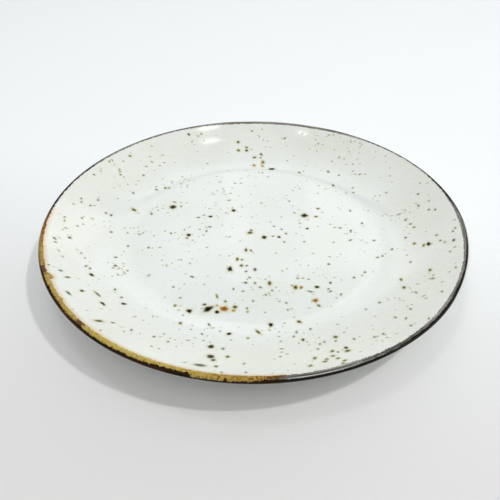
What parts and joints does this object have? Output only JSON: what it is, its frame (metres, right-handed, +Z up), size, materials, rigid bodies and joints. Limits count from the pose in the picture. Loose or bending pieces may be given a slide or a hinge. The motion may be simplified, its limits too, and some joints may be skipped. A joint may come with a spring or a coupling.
{
  "type": "ceramic plate",
  "caption": "Round coupe dinner plate of glazed stoneware: a flat well, a gently rising wall and a rounded lip with a coloured band, standing on a low bare foot ring.",
  "frame": {"origin": "centre of the foot ring's resting face, on the table", "axes": "+Z up along the plate's axis of revolution; X and Y in the table plane"},
  "size_m": [0.27, 0.27, 0.028],
  "materials": {
    "stoneware": "matt fired clay, bare only on the foot ring",
    "white_glaze": "glossy white glaze with iron speckles",
    "ochre_glaze": "satin ochre iron glaze, mottled",
    "brown_glaze": "glossy dark brown iron glaze"
  },
  "bodies": {
    "root": {"clay_body": "stoneware", "upper_glaze": "white_glaze", "rim_ochre_band": "ochre_glaze", "rim_brown_band": "brown_glaze", "underside_glaze": "white_glaze", "recess_glaze": "white_glaze"}
  },
  "joints": []
}
